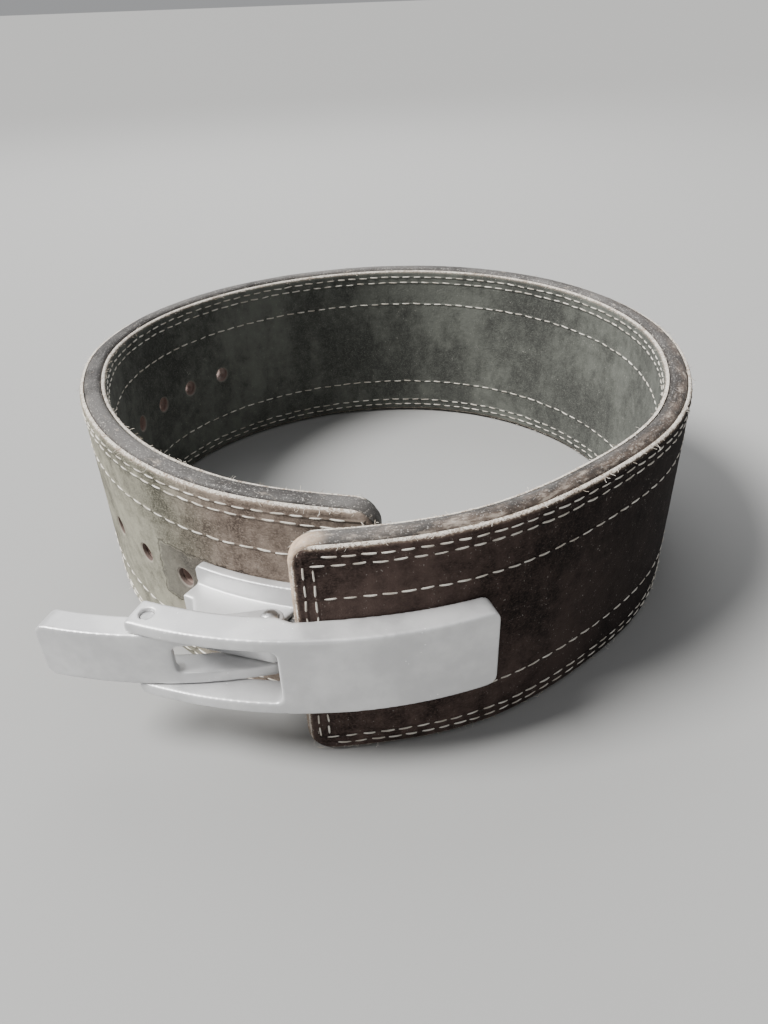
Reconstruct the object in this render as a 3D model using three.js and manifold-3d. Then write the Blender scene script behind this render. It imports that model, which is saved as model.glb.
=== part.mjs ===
import * as THREE from 'three';
import { mergeVertices } from 'three/addons/utils/BufferGeometryUtils.js';
import Module from 'manifold-3d';

const wasm = await Module();
wasm.setup();

// Driving dimensions of the leather strap, in millimetres and degrees
const strapHeight = 100;
const suedeThickness = 1.9;
const coreThickness = 7.6;
const seatGap = 0.3;
const cornerRadius = 10.5;
const suedeSetback = 1.5;
const suedeBevel = 2;
const coreCrown = 2;
const stationPitch = 15;

// The loop seen from above: angle from +X and radius of the outer face as a share of loopRadius
const loopRadius = 150;
const outerEndAngle = -95.4;
const innerEndAngle = 276.2;
const planRows = [
  { angle: -130, share: 1.19 },
  { angle: -110, share: 1.113 },
  { angle: -90, share: 1.073 },
  { angle: -70, share: 1.066 },
  { angle: -50, share: 1.054 },
  { angle: -30, share: 1.082 },
  { angle: -10, share: 1.098 },
  { angle: 10, share: 1.115 },
  { angle: 30, share: 1.111 },
  { angle: 50, share: 1.083 },
  { angle: 70, share: 1.034 },
  { angle: 90, share: 0.979 },
  { angle: 110, share: 0.939 },
  { angle: 130, share: 0.913 },
  { angle: 150, share: 0.896 },
  { angle: 170, share: 0.871 },
  { angle: 190, share: 0.838 },
  { angle: 210, share: 0.826 },
  { angle: 230, share: 0.842 },
  { angle: 250, share: 0.88 },
  { angle: 270, share: 0.93 },
  { angle: 290, share: 1.03 },
  { angle: 310, share: 1.16 },
];

// Crown of the core's edge: half thickness and height as shares
const crownRows = [
  { across: 1, up: 0 },
  { across: 0.64, up: 0.7 },
  { across: 0.26, up: 1 },
];

// Holes
const holeRadius = 4;
const holePitch = 27.3;
const holeCount = 12;
const firstHoleFromInnerEnd = 32.5;
const pegHoleCount = 2;
const firstPegHoleFromOuterEnd = 28;

// Base plate and its lug
const plateThickness = 4.2;
const plateHeight = 29;
const plateLeftPast = 14.5;
const plateRightPast = 13;
const plateCorner = 2;
const lugHeight = 12;
const lugStand = 13;
const lugHeel = 4.6;
const lugNeckStand = 24.5;
const lugNeck = 13;
const lugEye = 5.3;
const lugEyeFrom = -115;
const lugEyeTo = 55;

// Pivots
const basePivotFromInnerEnd = 36;
const basePivotStand = 17.8;
const pinSpacing = 42.5;
const pinDirection = 183.5;
const pinRadius = 2.5;
const pinHeadRadius = 3.1;
const pinHeadHeight = 1.7;
const pinDomeShare = 0.6;
const pinRecess = 0.5;

// Handle
const handleRadius = 177;
const handleDepth = 10.5;
const handleHeight = 24;
const handleTail = 44;
const handleFrontWall = 3.6;
const handleEndWall = 5;
const handleRail = 5.6;
const handleWindowFromPin = 7.5;
const handleCorner = 4.5;
const windowCorner = 2.8;

// Hook plate
const hookRadius = 174;
const hookHeight = 35;
const hookArm = 5.2;
const hookArmDepth = 12;
const hookSpread = 1;
const hookPinInset = 6.1;
const hookTip = 6.5;
const hookWindowFromPin = 50;
const hookFrontWall = 4;
const hookEndWall = 6;
const hookCorner = 4;
const hookReach = 68.4;
const hookFrontStand = 9.4;
const hookPastReach = 2;
const pegRadius = 3;
const pegDepth = 8;

// Screws
const screwRadius = 3.5;
const screwHeadRadius = 7;
const screwHeadHeight = 2.4;
const screwHeadGap = 0.6;
const screwDepthInLug = 5;

const strapThickness = 2 * suedeThickness + coreThickness + 2 * seatGap;
const middleHeight = strapHeight / 2;
const arcStep = 6;
const roundSides = 12;
const cornerSteps = 4;
const pathStep = 1;
const headingSpan = 0.5;
const searchStep = 1;
const searchBefore = 3;
const weldDistance = 1e-4;

const leather = { color: 0x37332f, roughness: 0.95, metalness: 0 };
const coreLeather = { color: 0x4b423b, roughness: 0.6, metalness: 0 };
const castMetal = { color: 0xb4b6b8, roughness: 0.42, metalness: 0.9 };
const steel = { color: 0x8e8f90, roughness: 0.35, metalness: 1 };

const radians = THREE.MathUtils.degToRad;

// The strap's path: Catmull-Rom through the rows of the plan table
function radiusAt(angle) {
  const step = planRows[1].angle - planRows[0].angle;
  const place = (angle - planRows[0].angle) / step;
  const row = THREE.MathUtils.clamp(Math.floor(place), 1, planRows.length - 3);
  const t = place - row;
  const [a, b, c, d] = planRows.slice(row - 1, row + 3).map((entry) => entry.share);
  const linear = c - a;
  const square = 2 * a - 5 * b + 4 * c - d;
  const cube = 3 * b - a - 3 * c + d;
  return (loopRadius * (2 * b + linear * t + square * t * t + cube * t * t * t)) / 2;
}

function pathPoint(angle) {
  const radius = radiusAt(angle);
  return new THREE.Vector2(radius * Math.cos(radians(angle)), radius * Math.sin(radians(angle)));
}

function measurePath(step) {
  const samples = [{ angle: outerEndAngle, run: 0 }];
  const count = Math.ceil((innerEndAngle - outerEndAngle) / step);
  for (let i = 1; i <= count; i += 1) {
    const angle = THREE.MathUtils.lerp(outerEndAngle, innerEndAngle, i / count);
    const last = samples[i - 1];
    const run = last.run + pathPoint(angle).distanceTo(pathPoint(last.angle));
    samples.push({ angle, run });
  }
  return samples;
}

const pathSamples = measurePath(pathStep);
const strapLength = pathSamples[pathSamples.length - 1].run;

// A place on the strap's outer face, with its outward normal; runs past either end go straight on in angle
function spotAt(run) {
  const after = pathSamples.findIndex((sample) => sample.run > run);
  const next = after < 0 ? pathSamples.length - 1 : Math.max(after, 1);
  const low = pathSamples[next - 1];
  const high = pathSamples[next];
  const share = (run - low.run) / (high.run - low.run);
  const angle = low.angle + share * (high.angle - low.angle);
  const point = pathPoint(angle);
  const along = pathPoint(angle + headingSpan).sub(pathPoint(angle - headingSpan)).normalize();
  return { point, normal: new THREE.Vector2(along.y, -along.x) };
}

function offWall(run, out) {
  const spot = spotAt(run);
  return spot.point.clone().addScaledVector(spot.normal, out);
}

// How far a rounded corner takes the edge in, at a distance from the end
function cornerInset(distance, radius) {
  if (distance >= radius) {
    return 0;
  }
  return radius - Math.sqrt(radius * radius - (radius - distance) ** 2);
}

// Places along a length: close together round the corners, evenly spaced between them
function stations(from, to, startRadius, endRadius, pitch) {
  const runs = [];
  for (let i = 0; i < cornerSteps && startRadius > 0; i += 1) {
    runs.push(from + startRadius * (1 - Math.cos((i / cornerSteps) * (Math.PI / 2))));
  }
  const inner = to - from - startRadius - endRadius;
  const count = Math.max(1, Math.ceil(inner / pitch));
  for (let i = 0; i <= count; i += 1) {
    runs.push(from + startRadius + (inner * i) / count);
  }
  for (let i = cornerSteps - 1; i >= 0 && endRadius > 0; i -= 1) {
    runs.push(to - endRadius * (1 - Math.cos((i / cornerSteps) * (Math.PI / 2))));
  }
  return runs;
}

// A closed body through rings of [outward, height] points, one ring at each spot
function sweep(spots, rings) {
  const size = rings[0].length;
  const positions = [];
  rings.forEach((ring, i) => {
    ring.forEach(([out, height]) => {
      const place = spots[i].point.clone().addScaledVector(spots[i].normal, out);
      positions.push(place.x, place.y, height);
    });
  });
  const index = [];
  for (let i = 0; i + 1 < rings.length; i += 1) {
    for (let j = 0; j < size; j += 1) {
      const a = i * size + j;
      const b = i * size + ((j + 1) % size);
      index.push(a, a + size, b, b, a + size, b + size);
    }
  }
  const capOf = (ring) => {
    const outline = ring.map(([out, height]) => new THREE.Vector2(out, height));
    return THREE.ShapeUtils.triangulateShape(outline, []);
  };
  capOf(rings[0]).forEach(([a, b, c]) => index.push(a, b, c));
  const last = (rings.length - 1) * size;
  capOf(rings[rings.length - 1]).forEach(([a, b, c]) => index.push(last + a, last + c, last + b));
  const geometry = new THREE.BufferGeometry();
  geometry.setAttribute('position', new THREE.Float32BufferAttribute(positions, 3));
  geometry.setIndex(index);
  return geometry;
}

function extrude(points, low, high) {
  const shape = new THREE.Shape(points);
  const geometry = new THREE.ExtrudeGeometry(shape, { depth: high - low, bevelEnabled: false });
  return geometry.translate(0, 0, low);
}

function upright(profile, place) {
  const geometry = new THREE.LatheGeometry(profile, roundSides);
  return geometry.rotateX(Math.PI / 2).translate(place.x, place.y, 0);
}

// A lathe profile of [radius, distance] points laid along the wall's normal
function throughWall(profile, run) {
  const spot = spotAt(run);
  const points = profile.map(([radius, out]) => new THREE.Vector2(radius, out));
  const geometry = new THREE.LatheGeometry(points, roundSides);
  const axis = new THREE.Vector3(spot.normal.x, spot.normal.y, 0);
  geometry.applyQuaternion(new THREE.Quaternion().setFromUnitVectors(new THREE.Vector3(0, 1, 0), axis));
  return geometry.translate(spot.point.x, spot.point.y, middleHeight);
}

function rod(radius, low, high) {
  return [[0, low], [radius, low], [radius, high], [0, high]];
}

function standing(radius, low, high) {
  return rod(radius, low, high).map(([across, height]) => new THREE.Vector2(across, height));
}

function solid(geometry) {
  const bare = geometry.clone();
  bare.deleteAttribute('normal');
  bare.deleteAttribute('uv');
  const merged = mergeVertices(bare, weldDistance);
  const mesh = new wasm.Mesh({
    numProp: 3,
    vertProperties: merged.attributes.position.array,
    triVerts: new Uint32Array(merged.index.array),
  });
  mesh.merge();
  return new wasm.Manifold(mesh);
}

function named(name, body, finish) {
  const { numProp, vertProperties, triVerts } = body.getMesh();
  const geometry = new THREE.BufferGeometry();
  geometry.setAttribute('position', new THREE.BufferAttribute(vertProperties, numProp));
  geometry.setIndex(new THREE.BufferAttribute(triVerts, 1));
  geometry.computeVertexNormals();
  const mesh = new THREE.Mesh(geometry, new THREE.MeshStandardMaterial(finish));
  mesh.name = name;
  return mesh;
}

// Leather layers: each is a wall between two distances from the outer face
function holeRuns() {
  const runs = [];
  for (let i = 0; i < holeCount; i += 1) {
    runs.push(strapLength - firstHoleFromInnerEnd - i * holePitch);
  }
  for (let i = 0; i < pegHoleCount; i += 1) {
    runs.push(firstPegHoleFromOuterEnd + i * holePitch);
  }
  return runs;
}

function punched(geometry) {
  let body = solid(geometry);
  holeRuns().forEach((run) => {
    const punch = throughWall(rod(holeRadius, -2 * strapThickness, strapThickness), run);
    body = body.subtract(solid(punch));
  });
  return body;
}

function suedeLayer(face, back) {
  const from = suedeSetback;
  const to = strapLength - suedeSetback;
  const radius = cornerRadius - suedeSetback;
  const runs = stations(from, to, radius, radius, stationPitch);
  const rings = runs.map((run) => {
    const inset = suedeSetback + cornerInset(Math.min(run - from, to - run), radius);
    const low = inset;
    const high = strapHeight - inset;
    const ring = [[back, low], [face, low + suedeBevel], [face, high - suedeBevel], [back, high]];
    return face > back ? ring : ring.reverse();
  });
  return punched(sweep(runs.map(spotAt), rings));
}

function coreLayer() {
  const centre = -strapThickness / 2;
  const runs = stations(0, strapLength, cornerRadius, cornerRadius, stationPitch);
  const rings = runs.map((run) => {
    const distance = Math.min(run, strapLength - run);
    const low = cornerInset(distance, cornerRadius);
    const high = strapHeight - low;
    const half = coreThickness / 2 - cornerInset(distance, coreCrown);
    const right = crownRows.map(({ across, up }) => [centre + across * half, coreCrown * (1 - up)]);
    const left = crownRows.map(({ across, up }) => [centre - across * half, coreCrown * (1 - up)]);
    const bottomRight = right.slice().reverse().map(([out, rise]) => [out, low + rise]);
    const topRight = right.map(([out, rise]) => [out, high - rise]);
    const topLeft = left.slice().reverse().map(([out, rise]) => [out, high - rise]);
    const bottomLeft = left.map(([out, rise]) => [out, low + rise]);
    return [...bottomRight, ...topRight, ...topLeft, ...bottomLeft];
  });
  return punched(sweep(runs.map(spotAt), rings));
}

// Pivots and the arcs through them
const basePivot = offWall(strapLength - basePivotFromInnerEnd, basePivotStand);
const pinHeading = new THREE.Vector2(Math.cos(radians(pinDirection)), Math.sin(radians(pinDirection)));
const hookPivot = basePivot.clone().addScaledVector(pinHeading, pinSpacing);
const hookFar = offWall(hookReach, hookFrontStand - hookPinInset);

// The centre, on the wearer's side, of the arc of a given radius from a left point to a right one
function arcCentre(left, right, radius) {
  const half = left.distanceTo(right) / 2;
  const across = right.clone().sub(left).normalize();
  const middle = left.clone().add(right).multiplyScalar(0.5);
  const rise = Math.sqrt(radius * radius - half * half);
  return middle.add(new THREE.Vector2(-across.y, across.x).multiplyScalar(rise));
}

function arcFrame(left, right, frontRadius, pinInset) {
  const centre = arcCentre(left, right, frontRadius - pinInset);
  const angleOf = (point) => Math.atan2(point.y - centre.y, point.x - centre.x);
  const spot = (angle) => {
    const normal = new THREE.Vector2(Math.cos(angle), Math.sin(angle));
    return { point: centre.clone().addScaledVector(normal, frontRadius), normal };
  };
  const at = (angle, back) => {
    const place = spot(angle);
    return place.point.addScaledVector(place.normal, -back);
  };
  return { centre, radius: frontRadius, pinAngle: angleOf(left), farAngle: angleOf(right), spot, at };
}

// Plan outline between two angles of an arc frame, from one depth behind the front to another
function sector(frame, from, to, front, back) {
  const count = Math.max(2, Math.ceil((Math.abs(to - from) * frame.radius) / arcStep));
  const outer = [];
  const inner = [];
  for (let i = 0; i <= count; i += 1) {
    const angle = THREE.MathUtils.lerp(from, to, i / count);
    outer.push(frame.at(angle, front));
    inner.unshift(frame.at(angle, back));
  }
  return [...outer, ...inner];
}

// A bar along an arc frame, with rounded corners as seen from the front; its back may be taller by a spread
function arcBar(frame, from, to, height, corners, depthAt, front = 0, spread = 0) {
  const length = (to - from) * frame.radius;
  const runs = stations(0, length, corners[0], corners[1], arcStep);
  const rings = runs.map((run) => {
    const inset = cornerInset(run, corners[0]) + cornerInset(length - run, corners[1]);
    const half = height / 2 - inset;
    const back = -depthAt(from + run / frame.radius);
    const low = middleHeight - half;
    const high = middleHeight + half;
    return [[back, low - spread], [front, low], [front, high], [back, high + spread]];
  });
  return solid(sweep(runs.map((run) => frame.spot(from + run / frame.radius)), rings));
}

function slab(points, height) {
  return solid(extrude(points, middleHeight - height / 2, middleHeight + height / 2));
}

function boreAt(place) {
  const reach = strapHeight;
  return solid(upright(standing(pinRadius + seatGap, 0, reach), place));
}

function basePlate() {
  const firstScrew = strapLength - firstHoleFromInnerEnd;
  const from = firstScrew - holePitch - plateLeftPast;
  const to = firstScrew + plateRightPast;
  const runs = stations(from, to, plateCorner, plateCorner, arcStep);
  const rings = runs.map((run) => {
    const half = plateHeight / 2 - cornerInset(Math.min(run - from, to - run), plateCorner);
    const low = middleHeight - half;
    const high = middleHeight + half;
    const face = seatGap + plateThickness;
    return [[seatGap, low], [face, low], [face, high], [seatGap, high]];
  });
  const plate = solid(sweep(runs.map(spotAt), rings));
  const root = seatGap + plateThickness / 2;
  const neck = offWall(from + lugNeck, lugNeckStand);
  const eye = [];
  for (let i = 0; i <= roundSides; i += 1) {
    const angle = radians(THREE.MathUtils.lerp(lugEyeFrom, lugEyeTo, i / roundSides));
    const spoke = new THREE.Vector2(Math.cos(angle), Math.sin(angle));
    eye.push(basePivot.clone().add(spoke.multiplyScalar(lugEye)));
  }
  const outline = [
    offWall(from, root),
    offWall(from, lugStand),
    offWall(from + lugHeel, lugStand),
    neck,
    ...eye,
    offWall(firstScrew + pinRadius, root),
  ];
  const lug = slab(outline, lugHeight);
  const depth = seatGap + plateThickness + screwDepthInLug;
  const bore = rod(screwRadius + seatGap, -seatGap, depth + seatGap);
  return plate
    .add(lug)
    .subtract(solid(throughWall(bore, firstScrew)))
    .subtract(solid(throughWall(bore, firstScrew - holePitch)))
    .subtract(boreAt(basePivot));
}

function handle() {
  const frame = arcFrame(hookPivot, basePivot, handleRadius, handleDepth / 2);
  const from = frame.pinAngle - handleTail / handleRadius;
  const inside = handleHeight - 2 * handleRail;
  const bar = arcBar(frame, from, frame.farAngle, handleHeight, [handleCorner, 0], () => handleDepth);
  const eye = slab(circle(basePivot, handleDepth / 2), handleHeight);
  const past = frame.farAngle + handleDepth / handleRadius;
  const hollowFrom = from + handleEndWall / handleRadius;
  const windowFrom = frame.pinAngle + handleWindowFromPin / handleRadius;
  const hollow = slab(sector(frame, hollowFrom, past, handleFrontWall, 2 * handleDepth), inside);
  const gap = arcBar(frame, windowFrom, past, inside, [windowCorner, 0], () => handleDepth, handleDepth);
  return bar
    .add(eye)
    .subtract(hollow)
    .subtract(gap)
    .subtract(boreAt(basePivot))
    .subtract(boreAt(hookPivot));
}

function circle(centre, radius) {
  const points = [];
  for (let i = 0; i < roundSides; i += 1) {
    const angle = (i / roundSides) * 2 * Math.PI;
    const spoke = new THREE.Vector2(Math.cos(angle), Math.sin(angle));
    points.push(centre.clone().add(spoke.multiplyScalar(radius)));
  }
  return points;
}

// Distance from an arc's centre to the strap's outer face in one direction, near the outer end
function wallReach(frame, angle) {
  const heading = new THREE.Vector2(Math.cos(angle), Math.sin(angle));
  let reach = 0;
  for (let run = -searchBefore; run < 2 * hookReach; run += searchStep) {
    const near = offWall(run, 0).sub(frame.centre);
    const far = offWall(run + searchStep, 0).sub(frame.centre);
    const a = heading.cross(near);
    const b = heading.cross(far);
    if (a <= 0 && b > 0) {
      reach = near.lerp(far, a / (a - b)).dot(heading);
    }
  }
  return reach;
}

// How far the front of an arc frame stands off the strap's outer face
function frontStand(frame, run) {
  return frame.radius - offWall(run, 0).distanceTo(frame.centre);
}

function hookPlate() {
  const frame = arcFrame(hookPivot, hookFar, hookRadius, hookPinInset);
  const from = frame.pinAngle - hookTip / hookRadius;
  const to = frame.farAngle + hookPastReach / hookRadius;
  const inside = hookHeight - 2 * hookArm;
  const depthAt = (angle) => Math.min(hookArmDepth, hookRadius - wallReach(frame, angle) - seatGap);
  const corners = [hookCorner / 2, hookCorner];
  const bar = arcBar(frame, from, to, hookHeight, corners, depthAt, 0, hookSpread);
  const windowTo = frame.pinAngle + hookWindowFromPin / hookRadius;
  const past = from - hookArmDepth / hookRadius;
  const gapCorners = [0, windowCorner];
  const gap = arcBar(frame, past, windowTo, inside, gapCorners, () => 2 * hookArmDepth, hookArmDepth);
  const hollowTo = to - hookEndWall / hookRadius;
  const hollow = slab(sector(frame, windowTo, hollowTo, hookFrontWall, 2 * hookArmDepth), inside);
  let body = bar.subtract(gap).subtract(hollow).subtract(boreAt(hookPivot));
  for (let i = 0; i < pegHoleCount; i += 1) {
    const run = firstPegHoleFromOuterEnd + i * holePitch;
    const front = frontStand(frame, run) - hookFrontWall / 2;
    body = body.add(solid(throughWall(rod(pegRadius, -pegDepth, front), run)));
  }
  return body;
}

function domed(half) {
  const foot = half + seatGap;
  const top = foot + pinHeadHeight;
  const shoulder = foot + pinHeadHeight / 2;
  const profile = [
    [0, -top], [pinHeadRadius * pinDomeShare, -top], [pinHeadRadius, -shoulder], [pinHeadRadius, -foot],
    [pinRadius, -foot], [pinRadius, foot],
    [pinHeadRadius, foot], [pinHeadRadius, shoulder], [pinHeadRadius * pinDomeShare, top], [0, top],
  ];
  return profile.map(([across, rise]) => new THREE.Vector2(across, middleHeight + rise));
}

function basePin() {
  return solid(upright(domed(handleHeight / 2), basePivot));
}

function hookPin() {
  const half = hookHeight / 2 - pinRecess;
  return solid(upright(standing(pinRadius, middleHeight - half, middleHeight + half), hookPivot));
}

function screw(run) {
  const seat = -strapThickness - screwHeadGap;
  const tip = seatGap + plateThickness + screwDepthInLug;
  const edge = screwHeadHeight / 2;
  return solid(throughWall([
    [0, seat - screwHeadHeight], [screwHeadRadius - edge, seat - screwHeadHeight],
    [screwHeadRadius, seat - edge], [screwHeadRadius, seat],
    [screwRadius, seat], [screwRadius, tip], [0, tip],
  ], run));
}

const screwRun = strapLength - firstHoleFromInnerEnd;
const innerFace = -strapThickness;
const pieces = [
  named('outer_suede', suedeLayer(0, -suedeThickness), leather),
  named('leather_core', coreLayer(), coreLeather),
  named('inner_suede', suedeLayer(innerFace, innerFace + suedeThickness), leather),
  named('base_plate', basePlate(), castMetal),
  named('handle', handle(), castMetal),
  named('hook_plate', hookPlate(), castMetal),
  named('base_pin', basePin(), steel),
  named('hook_pin', hookPin(), steel),
  named('screw_right', screw(screwRun), steel),
  named('screw_left', screw(screwRun - holePitch), steel),
];

// The origin is the middle of the box's floor
const whole = new THREE.Group();
whole.add(...pieces);
const box = new THREE.Box3().setFromObject(whole);
const middle = box.getCenter(new THREE.Vector3());
whole.position.set(-middle.x, -middle.y, -box.min.z);

const group = new THREE.Group();
group.add(whole);

export default group;
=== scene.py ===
import math

import bmesh
import bpy
from mathutils import Matrix, Vector, noise


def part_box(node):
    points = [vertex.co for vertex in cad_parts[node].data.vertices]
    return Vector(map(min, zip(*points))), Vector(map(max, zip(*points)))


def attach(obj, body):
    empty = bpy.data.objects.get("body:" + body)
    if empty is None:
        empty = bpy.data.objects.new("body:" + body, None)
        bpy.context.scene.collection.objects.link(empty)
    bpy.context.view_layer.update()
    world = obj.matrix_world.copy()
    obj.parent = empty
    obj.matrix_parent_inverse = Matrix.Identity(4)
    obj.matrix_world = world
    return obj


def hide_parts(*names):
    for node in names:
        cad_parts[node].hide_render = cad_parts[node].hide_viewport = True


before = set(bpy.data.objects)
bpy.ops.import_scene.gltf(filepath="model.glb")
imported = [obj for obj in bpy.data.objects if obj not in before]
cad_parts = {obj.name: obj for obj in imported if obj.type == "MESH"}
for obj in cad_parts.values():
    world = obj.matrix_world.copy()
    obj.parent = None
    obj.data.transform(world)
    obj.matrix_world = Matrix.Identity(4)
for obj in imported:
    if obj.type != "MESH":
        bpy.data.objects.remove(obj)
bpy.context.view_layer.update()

# The loop seen from above: radius of the outer face at each angle from +X, as a share of radius
plan = {
    "radius": 0.150,
    "centre": (-0.018681, 0.011416),
    "outerEnd": -95.4,
    "innerEnd": 276.2,
    "firstAngle": -130,
    "angleStep": 20,
    "shares": [
        1.19, 1.113, 1.073, 1.066, 1.054, 1.082, 1.098, 1.115, 1.111, 1.083, 1.034, 0.979,
        0.939, 0.913, 0.896, 0.871, 0.838, 0.826, 0.842, 0.88, 0.93, 1.03, 1.16,
    ],
}

# The strap laid flat: x runs from its outer end, y is out from its outer face, z is up
strap = {
    "height": 0.100,
    "suede": 0.0019,
    "core": 0.0076,
    "gap": 0.0003,
    "corner": 0.0105,
    "pitchAlong": 0.003,
    "pitchUp": 0.0032,
    "noseSteps": (0, 0.06, 0.2, 0.45, 0.75, 1),
    "waves": ((0.00014, 45), (0.00010, 240)),
    "waveShift": 900,
}
strapThickness = 2 * (strap["suede"] + strap["gap"]) + strap["core"]


def note(text):
    print("scene:", text)


def radiusAt(angle):
    place = (angle - plan["firstAngle"]) / plan["angleStep"]
    row = min(max(math.floor(place), 1), len(plan["shares"]) - 3)
    t = place - row
    a, b, c, d = plan["shares"][row - 1:row + 3]
    curve = 2 * b + (c - a) * t + (2 * a - 5 * b + 4 * c - d) * t**2 + (3 * b - a - 3 * c + d) * t**3
    return plan["radius"] * curve / 2


def planPoint(angle):
    turn = math.radians(angle)
    radius = radiusAt(angle)
    x, y = plan["centre"]
    return Vector((x + radius * math.cos(turn), y + radius * math.sin(turn), 0))


def planPoints():
    count = math.ceil(plan["innerEnd"] - plan["outerEnd"])
    span = (plan["innerEnd"] - plan["outerEnd"]) / count
    return [planPoint(plan["outerEnd"] + i * span) for i in range(count + 1)]


pathPoints = planPoints()
strapLength = sum((b - a).length for a, b in zip(pathPoints, pathPoints[1:]))
note(f"strap {strapLength:.4f} m long")


def put(tree, kind, inputs=None, **settings):
    node = tree.nodes.new(kind)
    node.location = (190 * (len(tree.nodes) % 12), -230 * (len(tree.nodes) // 12))
    for key, value in settings.items():
        setattr(node, key, value)
    for key, value in (inputs or {}).items():
        socket = node.inputs[key]
        if isinstance(value, bpy.types.NodeSocket):
            tree.links.new(value, socket)
        else:
            socket.default_value = value
    return node


def maths(tree, operation, *values):
    return put(tree, "ShaderNodeMath", dict(enumerate(values)), operation=operation).outputs[0]


def newTree(name, sockets):
    tree = bpy.data.node_groups.new(name, "GeometryNodeTree")
    tree.interface.new_socket("Geometry", in_out="INPUT", socket_type="NodeSocketGeometry")
    for label, kind in sockets:
        tree.interface.new_socket(label, in_out="INPUT", socket_type="NodeSocket" + kind)
    tree.interface.new_socket("Geometry", in_out="OUTPUT", socket_type="NodeSocketGeometry")
    return tree, put(tree, "NodeGroupInput").outputs


def endTree(tree, geometry):
    put(tree, "NodeGroupOutput", {0: geometry})


def bendTree():
    tree, given = newTree("bendToLoop", [("Path", "Object")])
    place = put(tree, "GeometryNodeInputPosition").outputs[0]
    flat = put(tree, "ShaderNodeSeparateXYZ", {0: place}).outputs
    kept = put(
        tree, "GeometryNodeStoreNamedAttribute",
        {"Geometry": given["Geometry"], "Name": "flat", "Value": place},
        data_type="FLOAT_VECTOR", domain="POINT",
    )
    path = put(tree, "GeometryNodeObjectInfo", {"Object": given["Path"]}, transform_space="ORIGINAL")
    spot = put(
        tree, "GeometryNodeSampleCurve",
        {"Curves": path.outputs["Geometry"], "Length": flat["X"]},
        mode="LENGTH", data_type="FLOAT",
    )
    out = put(
        tree, "ShaderNodeVectorMath",
        {0: spot.outputs["Tangent"], 1: (0, 0, 1)}, operation="CROSS_PRODUCT",
    )
    away = put(
        tree, "ShaderNodeVectorMath",
        {0: out.outputs["Vector"], "Scale": flat["Y"]}, operation="SCALE",
    )
    up = put(tree, "ShaderNodeCombineXYZ", {"Z": flat["Z"]})
    wall = put(
        tree, "ShaderNodeVectorMath",
        {0: spot.outputs["Position"], 1: away.outputs["Vector"]}, operation="ADD",
    )
    there = put(
        tree, "ShaderNodeVectorMath",
        {0: wall.outputs["Vector"], 1: up.outputs["Vector"]}, operation="ADD",
    )
    bent = put(
        tree, "GeometryNodeSetPosition",
        {"Geometry": kept.outputs["Geometry"], "Position": there.outputs["Vector"]},
    )
    endTree(tree, bent.outputs["Geometry"])
    return tree


bend = bendTree()


def bendGroup(tree, geometry, path):
    node = put(tree, "GeometryNodeGroup", node_tree=bend)
    tree.links.new(geometry, node.inputs["Geometry"])
    tree.links.new(path, node.inputs["Path"])
    return node.outputs["Geometry"]


def finishTree(tree, geometry, material, smoothAngle=0.6):
    real = put(tree, "GeometryNodeRealizeInstances", {"Geometry": geometry})
    smooth = put(tree, "GeometryNodeSetShadeSmooth", {"Geometry": real.outputs[0], "Shade Smooth": True})
    angle = put(tree, "GeometryNodeInputMeshEdgeAngle").outputs["Unsigned Angle"]
    soft = put(tree, "FunctionNodeCompare", {"A": angle, "B": smoothAngle}, operation="LESS_THAN")
    edged = put(
        tree, "GeometryNodeSetShadeSmooth",
        {"Geometry": smooth.outputs[0], "Shade Smooth": soft.outputs[0]}, domain="EDGE",
    )
    painted = put(tree, "GeometryNodeSetMaterial", {"Geometry": edged.outputs[0], "Material": material})
    endTree(tree, painted.outputs[0])


def layerTree():
    tree, given = newTree("punchedLayer", [
        ("Path", "Object"), ("Punch", "Object"), ("First hole", "Float"), ("Hole count", "Int"),
        ("First peg hole", "Float"), ("Peg hole count", "Int"), ("Pitch", "Float"),
        ("Middle", "Float"), ("Material", "Material"),
    ])
    step = put(tree, "ShaderNodeCombineXYZ", {"X": given["Pitch"]}).outputs[0]
    rows = put(tree, "GeometryNodeJoinGeometry")
    for first, count in (("First hole", "Hole count"), ("First peg hole", "Peg hole count")):
        start = put(tree, "ShaderNodeCombineXYZ", {"X": given[first], "Z": given["Middle"]})
        row = put(
            tree, "GeometryNodeMeshLine",
            {"Count": given[count], "Start Location": start.outputs[0], "Offset": step}, mode="OFFSET",
        )
        tree.links.new(row.outputs[0], rows.inputs[0])
    punch = put(tree, "GeometryNodeObjectInfo", {"Object": given["Punch"]}, transform_space="ORIGINAL")
    punches = put(
        tree, "GeometryNodeInstanceOnPoints",
        {"Points": rows.outputs[0], "Instance": punch.outputs["Geometry"]},
    )
    cut = put(tree, "GeometryNodeMeshBoolean", operation="DIFFERENCE", solver="EXACT")
    tree.links.new(given["Geometry"], cut.inputs["Mesh 1"])
    tree.links.new(punches.outputs[0], cut.inputs["Mesh 2"])
    finishTree(tree, bendGroup(tree, cut.outputs["Mesh"], given["Path"]), given["Material"])
    return tree


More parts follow.
